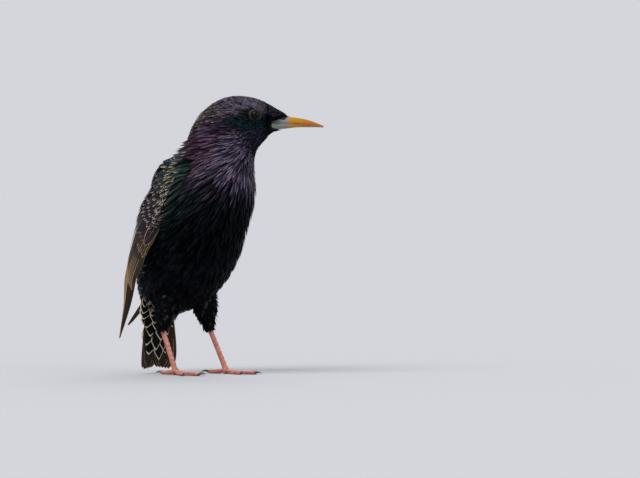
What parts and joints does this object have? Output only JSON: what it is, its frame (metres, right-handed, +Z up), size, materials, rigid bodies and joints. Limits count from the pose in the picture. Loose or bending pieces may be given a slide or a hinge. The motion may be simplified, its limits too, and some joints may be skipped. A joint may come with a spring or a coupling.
{
  "type": "starling",
  "caption": "Life-size model of a common starling in spring plumage, standing upright on both feet with its head turned to its left.",
  "frame": {"origin": "middle of the bird's outline seen from above, on the floor", "axes": "+X the way the trunk faces, +Y the bird's left, +Z up"},
  "size_m": [0.117, 0.0712, 0.1612],
  "materials": {
    "plumage": "glossy black contour feathers with a purple and green sheen",
    "flight": "brown-black vanes with pale buff edges",
    "bill": "satin horn, yellow with a blue-grey base",
    "eye": "wet gloss, dark brown",
    "skin": "scuted reddish skin",
    "claw": "dark horn"
  },
  "bodies": {
    "root": {"torso": "plumage", "neck": "plumage", "head": "plumage", "bill_upper": "bill", "bill_lower": "bill", "tail": "flight", "eye_right": "eye", "wing_right": "flight", "thigh_right": "plumage", "shank_right": "skin", "foot_right": "skin", "claw_right_inner": "claw", "claw_right_middle": "claw", "claw_right_outer": "claw", "claw_right_hind": "claw", "eye_left": "eye", "wing_left": "flight", "thigh_left": "plumage", "shank_left": "skin", "foot_left": "skin", "claw_left_inner": "claw", "claw_left_middle": "claw", "claw_left_outer": "claw", "claw_left_hind": "claw"}
  },
  "joints": []
}
